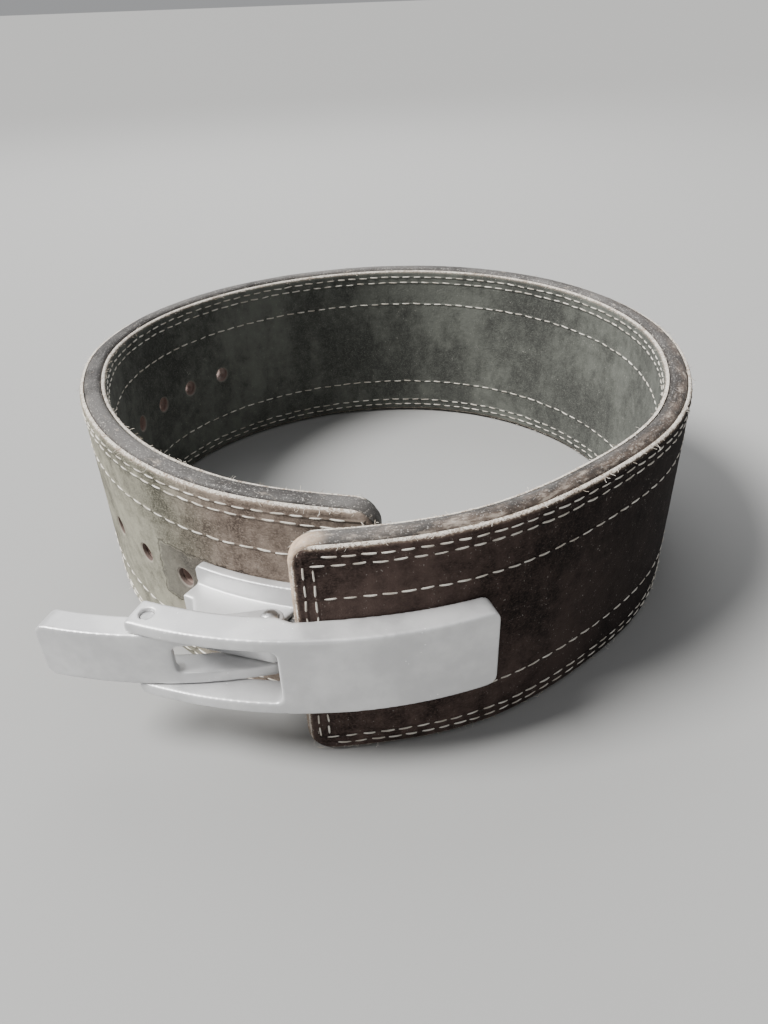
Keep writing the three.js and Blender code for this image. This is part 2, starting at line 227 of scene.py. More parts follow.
def stitchTree():
    tree, given = newTree("stitchRows", [
        ("Path", "Object"), ("Pitch", "Float"), ("Length", "Float"), ("Thread radius", "Float"),
        ("Arch", "Float"), ("Out", "Vector"), ("Wander", "Float"), ("Seed", "Int"), ("Material", "Material"),
    ])
    rows = put(tree, "GeometryNodeMeshToCurve", {"Mesh": given["Geometry"]})
    places = put(
        tree, "GeometryNodeResampleCurve",
        {"Curve": rows.outputs[0], "Length": given["Pitch"]}, mode="LENGTH",
    )
    half = maths(tree, "MULTIPLY", given["Length"], 0.5)
    back = maths(tree, "MULTIPLY", half, -1)
    thread = put(tree, "GeometryNodeCurveQuadraticBezier", {
        "Resolution": 6,
        "Start": put(tree, "ShaderNodeCombineXYZ", {"X": back}).outputs[0],
        "Middle": put(tree, "ShaderNodeCombineXYZ", {"Y": given["Arch"]}).outputs[0],
        "End": put(tree, "ShaderNodeCombineXYZ", {"X": half}).outputs[0],
    })
    ring = put(tree, "GeometryNodeCurvePrimitiveCircle", {"Resolution": 6, "Radius": given["Thread radius"]})
    stitch = put(
        tree, "GeometryNodeCurveToMesh",
        {"Curve": thread.outputs[0], "Profile Curve": ring.outputs[0], "Fill Caps": True},
    )
    tangent = put(tree, "GeometryNodeInputTangent").outputs[0]
    facing = put(
        tree, "FunctionNodeAxesToRotation",
        {"Primary Axis": tangent, "Secondary Axis": given["Out"]},
        primary_axis="X", secondary_axis="Y",
    )
    sway = put(
        tree, "FunctionNodeRandomValue",
        {"Min": (-0.05, -0.08, -0.03), "Max": (0.05, 0.08, 0.03), "Seed": given["Seed"]},
        data_type="FLOAT_VECTOR",
    )
    turned = put(
        tree, "FunctionNodeRotateRotation",
        {"Rotation": facing.outputs[0], "Rotate By": sway.outputs[0]}, rotation_space="LOCAL",
    )
    stretch = put(
        tree, "FunctionNodeRandomValue",
        {"Min": (0.88, 0.8, 0.85), "Max": (1.06, 1.1, 1.1), "Seed": given["Seed"]},
        data_type="FLOAT_VECTOR",
    )
    drift = put(
        tree, "FunctionNodeRandomValue",
        {"Min": (-1, 0, -1), "Max": (1, 0, 1), "Seed": given["Seed"]}, data_type="FLOAT_VECTOR",
    )
    wander = put(
        tree, "ShaderNodeVectorMath",
        {0: drift.outputs[0], "Scale": given["Wander"]}, operation="SCALE",
    )
    moved = put(
        tree, "GeometryNodeSetPosition", {"Geometry": places.outputs[0], "Offset": wander.outputs[0]},
    )
    sewn = put(tree, "GeometryNodeInstanceOnPoints", {
        "Points": moved.outputs[0], "Instance": stitch.outputs[0],
        "Rotation": turned.outputs[0], "Scale": stretch.outputs[0],
    })
    real = put(tree, "GeometryNodeRealizeInstances", {"Geometry": sewn.outputs[0]})
    finishTree(tree, bendGroup(tree, real.outputs[0], given["Path"]), given["Material"], smoothAngle=1.3)
    return tree


def fibreTree():
    tree, given = newTree("looseFibres", [
        ("Path", "Object"), ("Count", "Int"), ("Length", "Float"), ("Thickness", "Float"),
        ("Spread", "Float"), ("Seed", "Int"), ("Material", "Material"),
    ])
    rows = put(tree, "GeometryNodeMeshToCurve", {"Mesh": given["Geometry"]})
    places = put(
        tree, "GeometryNodeResampleCurve", {"Curve": rows.outputs[0], "Count": given["Count"]}, mode="COUNT",
    )
    drift = put(
        tree, "FunctionNodeRandomValue",
        {"Min": (-3, -1, -1), "Max": (3, 1, 1), "Seed": given["Seed"]}, data_type="FLOAT_VECTOR",
    )
    spread = put(
        tree, "ShaderNodeVectorMath",
        {0: drift.outputs[0], "Scale": given["Spread"]}, operation="SCALE",
    )
    moved = put(
        tree, "GeometryNodeSetPosition", {"Geometry": places.outputs[0], "Offset": spread.outputs[0]},
    )
    reach = put(tree, "ShaderNodeCombineXYZ", {"X": given["Length"]}).outputs[0]
    lift = put(tree, "ShaderNodeCombineXYZ", {"X": maths(tree, "MULTIPLY", given["Length"], 0.5),
                                              "Y": maths(tree, "MULTIPLY", given["Length"], 0.35)})
    strand = put(tree, "GeometryNodeCurveQuadraticBezier", {
        "Resolution": 3, "Start": (0, 0, 0), "Middle": lift.outputs[0], "End": reach,
    })
    ring = put(tree, "GeometryNodeCurvePrimitiveCircle", {"Resolution": 3, "Radius": given["Thickness"]})
    fibre = put(
        tree, "GeometryNodeCurveToMesh",
        {"Curve": strand.outputs[0], "Profile Curve": ring.outputs[0], "Fill Caps": True},
    )
    turn = put(
        tree, "FunctionNodeRandomValue",
        {"Min": (-3.1, -0.5, -3.1), "Max": (3.1, 0.5, 3.1), "Seed": given["Seed"]},
        data_type="FLOAT_VECTOR",
    )
    size = put(
        tree, "FunctionNodeRandomValue", {2: 0.35, 3: 1.0, "Seed": given["Seed"]}, data_type="FLOAT",
    )
    laid = put(tree, "GeometryNodeInstanceOnPoints", {
        "Points": moved.outputs[0], "Instance": fibre.outputs[0],
        "Rotation": turn.outputs[0], "Scale": size.outputs[1],
    })
    real = put(tree, "GeometryNodeRealizeInstances", {"Geometry": laid.outputs[0]})
    finishTree(tree, bendGroup(tree, real.outputs[0], given["Path"]), given["Material"], smoothAngle=1.3)
    return tree


def makeMesh(name, points, faces, edges=()):
    mesh = bpy.data.meshes.new(name)
    mesh.from_pydata(points, list(edges), faces)
    obj = bpy.data.objects.new(name, mesh)
    bpy.context.collection.objects.link(obj)
    return obj


def runTree(obj, tree, values):
    modifier = obj.modifiers.new("build", "NODES")
    modifier.node_group = tree
    for item in tree.interface.items_tree:
        if item.in_out == "INPUT" and item.name in values:
            modifier[item.identifier] = values[item.name]
    bpy.context.view_layer.update()
    seen = bpy.context.evaluated_depsgraph_get()
    mesh = bpy.data.meshes.new_from_object(obj.evaluated_get(seen), depsgraph=seen)
    mesh.name = obj.name
    obj.modifiers.remove(modifier)
    obj.data = mesh
    note(f"{obj.name}: {len(mesh.polygons)} faces")


camera = {
    "place": (-0.0011, -0.3520, 0.2462),
    "down": 33.625,
    "roll": -2.142,
    "lens": 27.319,
    "filmHeight": 36,
}


def addCamera():
    data = bpy.data.cameras.new("camera")
    data.sensor_fit = "VERTICAL"
    data.sensor_height = camera["filmHeight"]
    data.lens = camera["lens"]
    data.clip_start = 0.01
    obj = bpy.data.objects.new("camera", data)
    tip = Matrix.Rotation(math.radians(90 - camera["down"]), 4, "X")
    roll = Matrix.Rotation(math.radians(camera["roll"]), 4, "Z")
    obj.matrix_world = Matrix.Translation(camera["place"]) @ tip @ roll
    bpy.context.collection.objects.link(obj)
    bpy.context.scene.camera = obj


studio = {
    "floorSize": 80,
    "floorColour": (0.38, 0.38, 0.375, 1),
    "floorRoughness": 0.75,
    "skyColour": (0.97, 0.98, 1.0, 1),
    "skyStrength": 0.36,
    "sun": {"from": (-0.66, -0.10, 0.78), "strength": 6.4, "spread": 22, "tint": (1, 0.99, 0.97)},
    "window": {"place": (-0.25, 1.05, 1.15), "size": 1.3, "power": 14, "tint": (1, 1, 1)},
}


def addStudio():
    half = studio["floorSize"] / 2
    corners = [(-half, -half, 0), (half, -half, 0), (half, half, 0), (-half, half, 0)]
    floor = makeMesh("floor", corners, [(0, 1, 2, 3)])
    material = bpy.data.materials.new("floor")
    material.use_nodes = True
    paint = material.node_tree.nodes["Principled BSDF"]
    paint.inputs["Base Color"].default_value = studio["floorColour"]
    paint.inputs["Roughness"].default_value = studio["floorRoughness"]
    floor.data.materials.append(material)
    sun = bpy.data.lights.new("sun", "SUN")
    sun.energy = studio["sun"]["strength"]
    sun.angle = math.radians(studio["sun"]["spread"])
    sun.color = studio["sun"]["tint"]
    window = bpy.data.lights.new("window", "AREA")
    window.size = studio["window"]["size"]
    window.energy = studio["window"]["power"]
    window.color = studio["window"]["tint"]
    for light, place in ((sun, studio["sun"]["from"]), (window, studio["window"]["place"])):
        obj = bpy.data.objects.new(light.name, light)
        obj.location = place
        obj.rotation_euler = Vector(place).to_track_quat("Z", "Y").to_euler()
        bpy.context.collection.objects.link(obj)
    world = bpy.data.worlds.new("studio")
    world.use_nodes = True
    sky = world.node_tree.nodes["Background"]
    sky.inputs["Color"].default_value = studio["skyColour"]
    sky.inputs["Strength"].default_value = studio["skyStrength"]
    bpy.context.scene.world = world


addCamera()
addStudio()
note("camera and light")


def newMaterial(name, sockets):
    material = bpy.data.materials.new(name)
    material.use_nodes = True
    paint = material.node_tree.nodes["Principled BSDF"]
    for label, value in sockets.items():
        paint.inputs[label].default_value = value
    return material, material.node_tree, paint


def mixed(tree, factor, first, second):
    node = put(tree, "ShaderNodeMix", {"Factor": factor}, data_type="RGBA")
    for socket, value in ((node.inputs[6], first), (node.inputs[7], second)):
        if isinstance(value, bpy.types.NodeSocket):
            tree.links.new(value, socket)
        else:
            socket.default_value = (*value, 1)
    return node.outputs[2]


def ramped(tree, value, low, high, out=(0, 1)):
    node = put(
        tree, "ShaderNodeMapRange",
        {"Value": value, "From Min": low, "From Max": high, "To Min": out[0], "To Max": out[1]},
        interpolation_type="SMOOTHSTEP",
    )
    return node.outputs[0]


def noiseOf(tree, vector, scale, detail=2.0, stretch=None, rough=0.5):
    if stretch:
        vector = put(tree, "ShaderNodeVectorMath", {0: vector, 1: stretch}, operation="MULTIPLY").outputs[0]
    node = put(
        tree, "ShaderNodeTexNoise",
        {"Vector": vector, "Scale": scale, "Detail": detail, "Roughness": rough},
    )
    return node.outputs["Fac"]


def bumped(tree, paint, layers):
    normal = None
    for height, strength, depth in layers:
        node = put(tree, "ShaderNodeBump", {"Height": height, "Strength": strength, "Distance": depth})
        if normal:
            tree.links.new(normal, node.inputs["Normal"])
        normal = node.outputs[0]
    tree.links.new(normal, paint.inputs["Normal"])


def flatPlace(tree):
    flat = put(tree, "ShaderNodeAttribute", attribute_name="flat").outputs["Vector"]
    return flat, put(tree, "ShaderNodeSeparateXYZ", {0: flat}).outputs


def edgeDistance(tree, spot):
    fromTop = maths(tree, "SUBTRACT", strap["height"], spot["Z"])
    fromFar = maths(tree, "SUBTRACT", strapLength, spot["X"])
    sides = maths(tree, "MINIMUM", spot["Z"], fromTop)
    ends = maths(tree, "MINIMUM", spot["X"], fromFar)
    return sides, maths(tree, "MINIMUM", sides, ends)


holes = {
    "radius": 0.004,
    "pitch": 0.0273,
    "count": 12,
    "fromInnerEnd": 0.0325,
    "pegCount": 2,
    "fromOuterEnd": 0.028,
    "lip": 0.0009,
    "past": 0.003,
    "sides": 32,
}


def holeDistance(tree, spot):
    # from the centre of the nearest adjusting hole, measured on the face
    pitch = holes["pitch"]
    last = strapLength - holes["fromInnerEnd"]
    first = last - (holes["count"] - 1) * pitch
    place = maths(tree, "DIVIDE", maths(tree, "SUBTRACT", spot["X"], first), pitch)
    nearest = maths(tree, "MAXIMUM", maths(tree, "ROUND", place), 0)
    nearest = maths(tree, "MINIMUM", nearest, holes["count"] - 1)
    across = maths(tree, "MULTIPLY", maths(tree, "SUBTRACT", place, nearest), pitch)
    rise = maths(tree, "SUBTRACT", spot["Z"], 0.5 * strap["height"])
    squared = maths(tree, "ADD", maths(tree, "MULTIPLY", across, across), maths(tree, "MULTIPLY", rise, rise))
    return maths(tree, "SQRT", squared)


def plateDistance(tree, spot):
    # below zero inside the mark that the buckle's plate has pressed into the face
    along = maths(tree, "ABSOLUTE", maths(tree, "SUBTRACT", spot["X"], suede["printAt"]))
    along = maths(tree, "SUBTRACT", along, suede["printHalfLength"])
    rise = maths(tree, "ABSOLUTE", maths(tree, "SUBTRACT", spot["Z"], 0.5 * strap["height"]))
    rise = maths(tree, "SUBTRACT", rise, suede["printHalfHeight"])
    return maths(tree, "MAXIMUM", along, rise)


suede = {
    "dark": (0.0060, 0.0042, 0.0038),
    "worn": (0.025, 0.018, 0.016),
    "endWorn": (0.105, 0.072, 0.062),
    # The left and tip colours are lighter copies of the suede colours, as painted light falling from the left
    # on the left side and the tip. The tip is also browner in tone of its own. The dark and worn pair stays
    # for the shaded right side.
    "leftLitDark": (0.060, 0.056, 0.042),
    "leftLitWorn": (0.350, 0.336, 0.264),
    "tipLitDark": (0.070, 0.052, 0.042),
    "tipLitWorn": (0.320, 0.260, 0.215),
    "insideDark": (0.050, 0.051, 0.047),
    "insideWorn": (0.150, 0.156, 0.138),
    "lint": (0.62, 0.59, 0.54),
    "rim": (0.88, 0.82, 0.73),
    "rimDark": (0.40, 0.31, 0.24),
    "lip": (0.40, 0.35, 0.31),
    # The inner bore is the colour of undyed leather, made lighter as painted light standing for light that
    # comes in through the holes
    "bore": (0.340, 0.250, 0.220),
    "outerBore": (0.150, 0.112, 0.098),
    "print": (0.075, 0.070, 0.066),
    "rimWidth": 0.0011,
    # Where along the strap the painted light of the left side fades in
    "litFrom": 0.58,
    "litTo": 0.80,
    "tipFrom": 0.880,
    "tipTo": 0.925,
    "endTo": 0.16,
    "printAt": 0.880,
    "printHalfLength": 0.024,
    "printHalfHeight": 0.0135,
    "rows": (0.0053, 0.009),
    "middleRow": 0.0228,
    "grooveHalf": 0.0010,
}


def suedeMaterial(name, outside):
    material, tree, paint = newMaterial(
        name, {"Roughness": 0.97, "Specular IOR Level": 0.10, "Sheen Weight": 0.03, "Sheen Roughness": 0.5},
    )
    flat, spot = flatPlace(tree)
    sides, rimward = edgeDistance(tree, spot)
    clouds = noiseOf(tree, flat, 14, 4, rough=0.6)
    smears = noiseOf(tree, flat, 70, 4, (1.1, 1, 0.5), 0.55)
    mottle = noiseOf(tree, flat, 170, 5, rough=0.65)
    nap = noiseOf(tree, flat, 1500, 3, (0.7, 1, 1), 0.6)
    tufts = noiseOf(tree, flat, 520, 4, rough=0.7)
    parts = [maths(tree, "MULTIPLY", clouds, 0.50), maths(tree, "MULTIPLY", smears, 0.25)]
    wear = maths(tree, "MULTIPLY_ADD", mottle, 0.25, maths(tree, "ADD", *parts))
    wear = ramped(tree, wear, 0.40, 0.62)
    if outside:
        # Painted light: from the left side on to the tip, the outer suede takes its lighter lit copies
        litLeft = ramped(tree, spot["X"], suede["litFrom"], suede["litTo"])
        drifting = maths(tree, "MULTIPLY_ADD", clouds, 0.05, spot["X"])
        tip = ramped(tree, drifting, suede["tipFrom"], suede["tipTo"])
        nearEnd = ramped(tree, spot["X"], suede["endTo"], 0.02)
        low = mixed(tree, litLeft, suede["dark"], mixed(tree, tip, suede["leftLitDark"], suede["tipLitDark"]))
        high = mixed(tree, nearEnd, suede["worn"], suede["endWorn"])
        high = mixed(tree, litLeft, high, mixed(tree, tip, suede["leftLitWorn"], suede["tipLitWorn"]))
        colour = mixed(tree, wear, low, high)
    else:
        high = suede["insideWorn"]
        colour = mixed(tree, wear, suede["insideDark"], high)
    grain = maths(tree, "MULTIPLY", ramped(tree, nap, 0.38, 0.66), ramped(tree, tufts, 0.30, 0.66))
    colour = mixed(tree, maths(tree, "MULTIPLY", grain, 0.75), colour, high)
    specks = noiseOf(tree, flat, 1500, 2, (1, 1, 0.6), 0.5)
    lint = maths(tree, "MULTIPLY", ramped(tree, specks, 0.64, 0.71), ramped(tree, mottle, 0.48, 0.60))
    colour = mixed(tree, maths(tree, "MULTIPLY", lint, 0.45), colour, suede["lint"])
    hole = maths(tree, "SUBTRACT", holeDistance(tree, spot), holes["radius"])
    layers = [(nap, 0.6, 0.0003), (tufts, 0.5, 0.0006), (mottle, 0.3, 0.0008)]
    if outside:
        plate = maths(tree, "SUBTRACT", plateDistance(tree, spot), 0.0015)
        plate = maths(tree, "MULTIPLY_ADD", mottle, 0.007, plate)
        pressed = ramped(tree, plate, 0.0030, 0.0012)
        creased = ramped(tree, maths(tree, "ABSOLUTE", maths(tree, "SUBTRACT", plate, 0.0028)), 0.0007, 0)
        colour = mixed(tree, maths(tree, "MULTIPLY", pressed, 0.55), colour, suede["print"])
        # Painted shade: the suede is darkened along the crease at the edge of the plate's pressed mark
        colour = mixed(tree, maths(tree, "MULTIPLY", creased, 0.6), colour, suede["dark"])
        layers += [(pressed, 0.8, -0.0007), (creased, 0.6, -0.0006)]
    ragged = maths(tree, "MULTIPLY_ADD", tufts, 0.0012, maths(tree, "SUBTRACT", rimward, 0.0028))
    ragged = maths(tree, "MULTIPLY_ADD", nap, 0.0024, ragged)
    fray = ramped(tree, ragged, suede["rimWidth"] + 0.0011, suede["rimWidth"])
    rim = ramped(tree, ragged, suede["rimWidth"] + 0.0002, suede["rimWidth"] - 0.0004)
    fluff = maths(tree, "MULTIPLY_ADD", nap, 0.7, maths(tree, "MULTIPLY", mottle, 0.5))
    rimColour = mixed(tree, ramped(tree, fluff, 0.48, 0.62), suede["rimDark"], suede["rim"])
    colour = mixed(tree, maths(tree, "MULTIPLY", fray, 0.25), colour, suede["rimDark"])
    colour = mixed(tree, rim, colour, rimColour)
    lip = ramped(tree, maths(tree, "MULTIPLY_ADD", tufts, 0.001, hole), 0.0018, 0.0009)
    colour = mixed(tree, maths(tree, "MULTIPLY", lip, 0.45), colour, suede["lip"])
    # Painted light: the inner holes' bores get the lightened bore colour, while the outer holes keep a darker
    # bore
    bore = suede["outerBore"] if outside else suede["bore"]
    colour = mixed(tree, ramped(tree, hole, 0.00028, 0.00010), colour, bore)
    tree.links.new(colour, paint.inputs["Base Color"])
    groove = None
    first, second = suede["rows"]
    for row, distance in ((first, rimward), (second, rimward), (suede["middleRow"], sides)):
        off = maths(tree, "ABSOLUTE", maths(tree, "SUBTRACT", distance, row))
        line = ramped(tree, off, 0, suede["grooveHalf"])
        groove = line if groove is None else maths(tree, "MINIMUM", groove, line)
    layers += [(groove, 0.7, 0.0006), (maths(tree, "MULTIPLY", nap, rim), 0.9, 0.0008)]
    bumped(tree, paint, layers)
    return material


edge = {
    "dark": (0.024, 0.020, 0.018),
    "grey": (0.105, 0.098, 0.092),
    "brown": (0.125, 0.092, 0.072),
    "tan": (0.72, 0.52, 0.36),
    "scuff": (0.50, 0.43, 0.36),
    "dust": (0.60, 0.57, 0.53),
    "bore": (0.300, 0.215, 0.185),
    "tanTo": 0.012,
    "dullTo": 0.075,
    "brownTo": 0.42,
}


def edgeMaterial():
    material, tree, paint = newMaterial("burnished edge", {})
    flat, spot = flatPlace(tree)
    clouds = noiseOf(tree, flat, 26, 4, rough=0.6)
    streaks = noiseOf(tree, flat, 420, 5, (0.35, 1, 1), 0.7)
    patches = noiseOf(tree, flat, 150, 4, (0.5, 1, 1), 0.65)
    speckle = noiseOf(tree, flat, 1300, 4, (0.8, 1, 1), 0.7)
    outward = ramped(tree, maths(tree, "MULTIPLY_ADD", patches, 0.004, spot["Y"]), -0.0065, -0.0025)
    right = ramped(tree, spot["X"], edge["brownTo"], 0.12)
    grey = mixed(tree, ramped(tree, clouds, 0.36, 0.60), edge["dark"], edge["grey"])
    brown = mixed(tree, ramped(tree, patches, 0.34, 0.62), edge["dark"], edge["brown"])
    dusky = mixed(tree, ramped(tree, clouds, 0.45, 0.70), edge["dark"], edge["grey"])
    colour = mixed(tree, right, grey, mixed(tree, outward, dusky, brown))
    dull = ramped(tree, spot["X"], edge["dullTo"], edge["tanTo"], (0, 0.8))
    colour = mixed(tree, dull, colour, edge["grey"])
    tan = ramped(tree, maths(tree, "MULTIPLY_ADD", clouds, 0.020, spot["X"]), 0.028, edge["tanTo"])
    mottled = ramped(tree, patches, 0.34, 0.60, (0.50, 0.95))
    mottled = maths(tree, "MULTIPLY", mottled, ramped(tree, spot["Z"], 0.050, 0.088, (0.35, 1)))
    colour = mixed(tree, maths(tree, "MULTIPLY", tan, mottled), colour, edge["tan"])
    worn = maths(tree, "MULTIPLY_ADD", patches, 0.4, maths(tree, "MULTIPLY", streaks, 0.6))
    worn = maths(tree, "MULTIPLY_ADD", maths(tree, "MULTIPLY", outward, right), 0.06, worn)
    colour = mixed(tree, ramped(tree, worn, 0.56, 0.68, (0, 0.6)), colour, edge["scuff"])
    colour = mixed(tree, ramped(tree, speckle, 0.56, 0.67, (0, 0.65)), colour, edge["dust"])
    bore = ramped(tree, holeDistance(tree, spot), holes["radius"] + 0.0006, holes["radius"] + 0.0003)
    colour = mixed(tree, bore, colour, edge["bore"])
    tree.links.new(colour, paint.inputs["Base Color"])
    tree.links.new(ramped(tree, streaks, 0.3, 0.7, (0.42, 0.70)), paint.inputs["Roughness"])
    bumped(tree, paint, [(streaks, 0.6, 0.0006), (speckle, 0.6, 0.0003), (patches, 0.5, 0.0010)])
    return material


yarn = {
    "clean": (0.86, 0.82, 0.74),
    "grimy": (0.52, 0.47, 0.40),
    "fibreDark": (0.55, 0.47, 0.38),
    "fibrePale": (0.85, 0.80, 0.72),
}


def threadMaterial():
    material, tree, paint = newMaterial("thread", {"Roughness": 0.75, "Sheen Weight": 0.2})
    flat, _ = flatPlace(tree)
    grime = noiseOf(tree, flat, 120, 3)
    twist = noiseOf(tree, flat, 2600, 2)
    colour = mixed(tree, ramped(tree, grime, 0.36, 0.66), yarn["clean"], yarn["grimy"])
    tree.links.new(colour, paint.inputs["Base Color"])
    bumped(tree, paint, [(twist, 0.5, 0.0003)])
    return material


def fibreMaterial():
    material, tree, paint = newMaterial("raw fibre", {"Roughness": 0.9, "Sheen Weight": 0.2})
    flat, _ = flatPlace(tree)
    shade = ramped(tree, noiseOf(tree, flat, 60, 2), 0.4, 0.6)
    colour = mixed(tree, shade, yarn["fibreDark"], yarn["fibrePale"])
    tree.links.new(colour, paint.inputs["Base Color"])
    return material


metal = {
    "bright": (0.80, 0.80, 0.80),
    "dull": (0.64, 0.64, 0.645),
    # The white of the small spots painted as highlights on the casting
    "glint": (1.0, 1.0, 1.0),
    "stain": (0.45, 0.45, 0.45),
    "pinDull": (0.42, 0.42, 0.42),
    "pinBright": (0.66, 0.66, 0.66),
}


def castMaterial():
    material, tree, paint = newMaterial("tumbled casting", {"Metallic": 0.45})
    place = put(tree, "ShaderNodeTexCoord").outputs["Object"]
    clouds = noiseOf(tree, place, 45, 4, rough=0.6)
    pebble = noiseOf(tree, place, 700, 3)
    specks = put(tree, "ShaderNodeTexVoronoi", {"Vector": place, "Scale": 330.0}).outputs["Distance"]
    thin = noiseOf(tree, place, 30, 1)
    colour = mixed(tree, ramped(tree, clouds, 0.35, 0.68), metal["dull"], metal["bright"])
    stain = ramped(tree, noiseOf(tree, place, 120, 4, rough=0.7), 0.66, 0.78, (0, 0.5))
    colour = mixed(tree, stain, colour, metal["stain"])
    # Painted highlights: small white spots stand for tiny glints on the casting
    glintSpots = maths(tree, "MULTIPLY", ramped(tree, specks, 0.12, 0.06), ramped(tree, thin, 0.54, 0.60))
    colour = mixed(tree, glintSpots, colour, metal["glint"])
    tree.links.new(colour, paint.inputs["Base Color"])
    tree.links.new(ramped(tree, clouds, 0.3, 0.7, (0.37, 0.49)), paint.inputs["Roughness"])
    bumped(tree, paint, [(pebble, 0.16, 0.0003), (clouds, 0.25, 0.0008), (glintSpots, 0.3, 0.0002)])
    return material


def steelMaterial():
    material, tree, paint = newMaterial("turned steel", {"Metallic": 1.0})
    place = put(tree, "ShaderNodeTexCoord").outputs["Object"]
    rub = noiseOf(tree, place, 400, 3)
    colour = mixed(tree, ramped(tree, rub, 0.35, 0.7), metal["pinDull"], metal["pinBright"])
    tree.links.new(colour, paint.inputs["Base Color"])
    tree.links.new(ramped(tree, rub, 0.3, 0.7, (0.28, 0.5)), paint.inputs["Roughness"])
    bumped(tree, paint, [(rub, 0.15, 0.0002)])
    return material


outerSuede = suedeMaterial("suede outside", True)
innerSuede = suedeMaterial("suede inside", False)
burnished = edgeMaterial()
thread = threadMaterial()
rawFibre = fibreMaterial()
casting = castMaterial()
turned = steelMaterial()
note("materials")


def cornerInset(distance, radius):
    if distance >= radius:
        return 0
    return radius - math.sqrt(radius**2 - (radius - distance)**2)


def stations(length, radius, pitch, ends):
    near = [distance for distance in ends if distance < radius]
    steps = 7
    near += [radius * (1 - math.cos(math.pi / 2 * i / steps)) for i in range(1, steps)]
    near = sorted(near)
    count = math.ceil((length - 2 * radius) / pitch)
    middle = [radius + (length - 2 * radius) * i / count for i in range(count + 1)]
    return near + middle + [length - distance for distance in reversed(near)]


def flatLayer(name, layer):
    # a sheet of leather laid flat, its cut edge nosed over on the face or faces that show
    low, high, setback = layer["low"], layer["high"], layer["setback"]
    noseDepth, noseShare = layer["noseDepth"], layer["noseShare"]
    radius = strap["corner"] - setback
    length = strapLength - 2 * setback
    ends = [noseDepth * share for share in strap["noseSteps"]]
    alongs = stations(length, radius, strap["pitchAlong"], ends)
    count = math.ceil((strap["height"] - 2 * setback - 2 * noseDepth) / strap["pitchUp"])

    def noseAt(distance):
        share = min(max(distance / noseDepth, 0), 1)
        return noseShare + (1 - noseShare) * math.sqrt(1 - (1 - share)**2)

    points = []
    faces = []
    for along in alongs:
        fromEnd = min(along, length - along)
        inset = setback + cornerInset(fromEnd, radius)
        bottom, top = inset, strap["height"] - inset
        inside = (top - bottom - 2 * noseDepth) / count
        heights = [bottom + distance for distance in ends]
        heights += [bottom + noseDepth + inside * i for i in range(1, count)]
        heights += [top - distance for distance in reversed(ends)]
        outer = []
        inner = []
        for height in heights:
            distance = min(height - bottom, top - height, fromEnd)
            nose = noseAt(distance)
            x = setback + along
            wave = 0
            for depth, turns in strap["waves"]:
                place = Vector((x * turns, height * turns, high * strap["waveShift"]))
                wave += depth * noise.noise(place)
            if layer["facing"] == 0:
                middle, half = (low + high) / 2, (high - low) / 2
                outer.append((x, middle + half * nose, height + wave))
                inner.append((x, middle - half * nose, height + wave))
            elif layer["facing"] > 0:
                outer.append((x, low + (high - low) * nose + wave, height))
                inner.append((x, low, height))
            else:
                outer.append((x, high, height))
                inner.append((x, high - (high - low) * nose + wave, height))
        points += outer + inner[::-1]
    size = 2 * len(heights)
    for i in range(len(alongs) - 1):
        for j in range(size):
            a, b = i * size + j, i * size + (j + 1) % size
            faces.append((a, b, b + size, a + size))
    half = size // 2
    for start in (0, (len(alongs) - 1) * size):
        for j in range(half - 1):
            faces.append((start + j, start + size - 1 - j, start + size - 2 - j, start + j + 1))
    obj = makeMesh(name, points, faces)
    sheet = bmesh.new()
    sheet.from_mesh(obj.data)
    bmesh.ops.remove_doubles(sheet, verts=sheet.verts, dist=1e-7)
    bmesh.ops.recalc_face_normals(sheet, faces=sheet.faces)
    sheet.to_mesh(obj.data)
    sheet.free()
    return obj


def lathe(name, profile, sides, place=(0, 0, 0), axis=(0, 0, 1)):
    # profile of (radius, distance along the axis), from one point on the axis to another
    turn = Vector((0, 0, 1)).rotation_difference(Vector(axis)).to_matrix()
    points = []
    faces = []
    rings = []
    for radius, rise in profile:
        if radius == 0:
            rings.append([len(points)])
            points.append(Vector(place) + turn @ Vector((0, 0, rise)))
            continue
        rings.append(list(range(len(points), len(points) + sides)))
        for i in range(sides):
            angle = 2 * math.pi * i / sides
            spoke = Vector((radius * math.cos(angle), radius * math.sin(angle), rise))
            points.append(Vector(place) + turn @ spoke)
    for first, second in zip(rings, rings[1:]):
        for i in range(sides):
            k = (i + 1) % sides
            ring = [
                first[i % len(first)], first[k % len(first)],
                second[k % len(second)], second[i % len(second)],
            ]
            faces.append(list(dict.fromkeys(ring)))
    obj = makeMesh(name, points, faces)
    body = bmesh.new()
    body.from_mesh(obj.data)
    bmesh.ops.recalc_face_normals(body, faces=body.faces)
    body.to_mesh(obj.data)
    body.free()
    return obj


def addPath():
    curve = bpy.data.curves.new("strapPath", "CURVE")
    curve.dimensions = "3D"
    line = curve.splines.new("POLY")
    line.points.add(len(pathPoints) - 1)
    for point, place in zip(line.points, pathPoints):
        point.co = (*place, 1)
    obj = bpy.data.objects.new("strapPath", curve)
    bpy.context.collection.objects.link(obj)
    return obj


strapPath = addPath()
punchedLayer = layerTree()
coreFace = -strap["suede"] - strap["gap"]

# facing is 1 for a layer that shows its outer face, -1 for its inner face and 0 for neither
leatherLayers = {
    "outer_suede_face": {
        "node": "outer_suede", "material": outerSuede, "slot": "suede", "facing": 1,
        "low": -strap["suede"], "high": 0,
        "setback": 0.0015, "noseDepth": 0.0022, "noseShare": 0.25,
    },
    "core_face": {
        "node": "leather_core", "material": burnished, "slot": "core", "facing": 0,
        "low": coreFace - strap["core"], "high": coreFace,
        "setback": 0, "noseDepth": 0.0024, "noseShare": 0.2,
    },
    "inner_suede_face": {
        "node": "inner_suede", "material": innerSuede, "slot": "suede", "facing": -1,
        "low": -strapThickness, "high": strap["suede"] - strapThickness,
        "setback": 0.0015, "noseDepth": 0.0022, "noseShare": 0.25,
    },
}


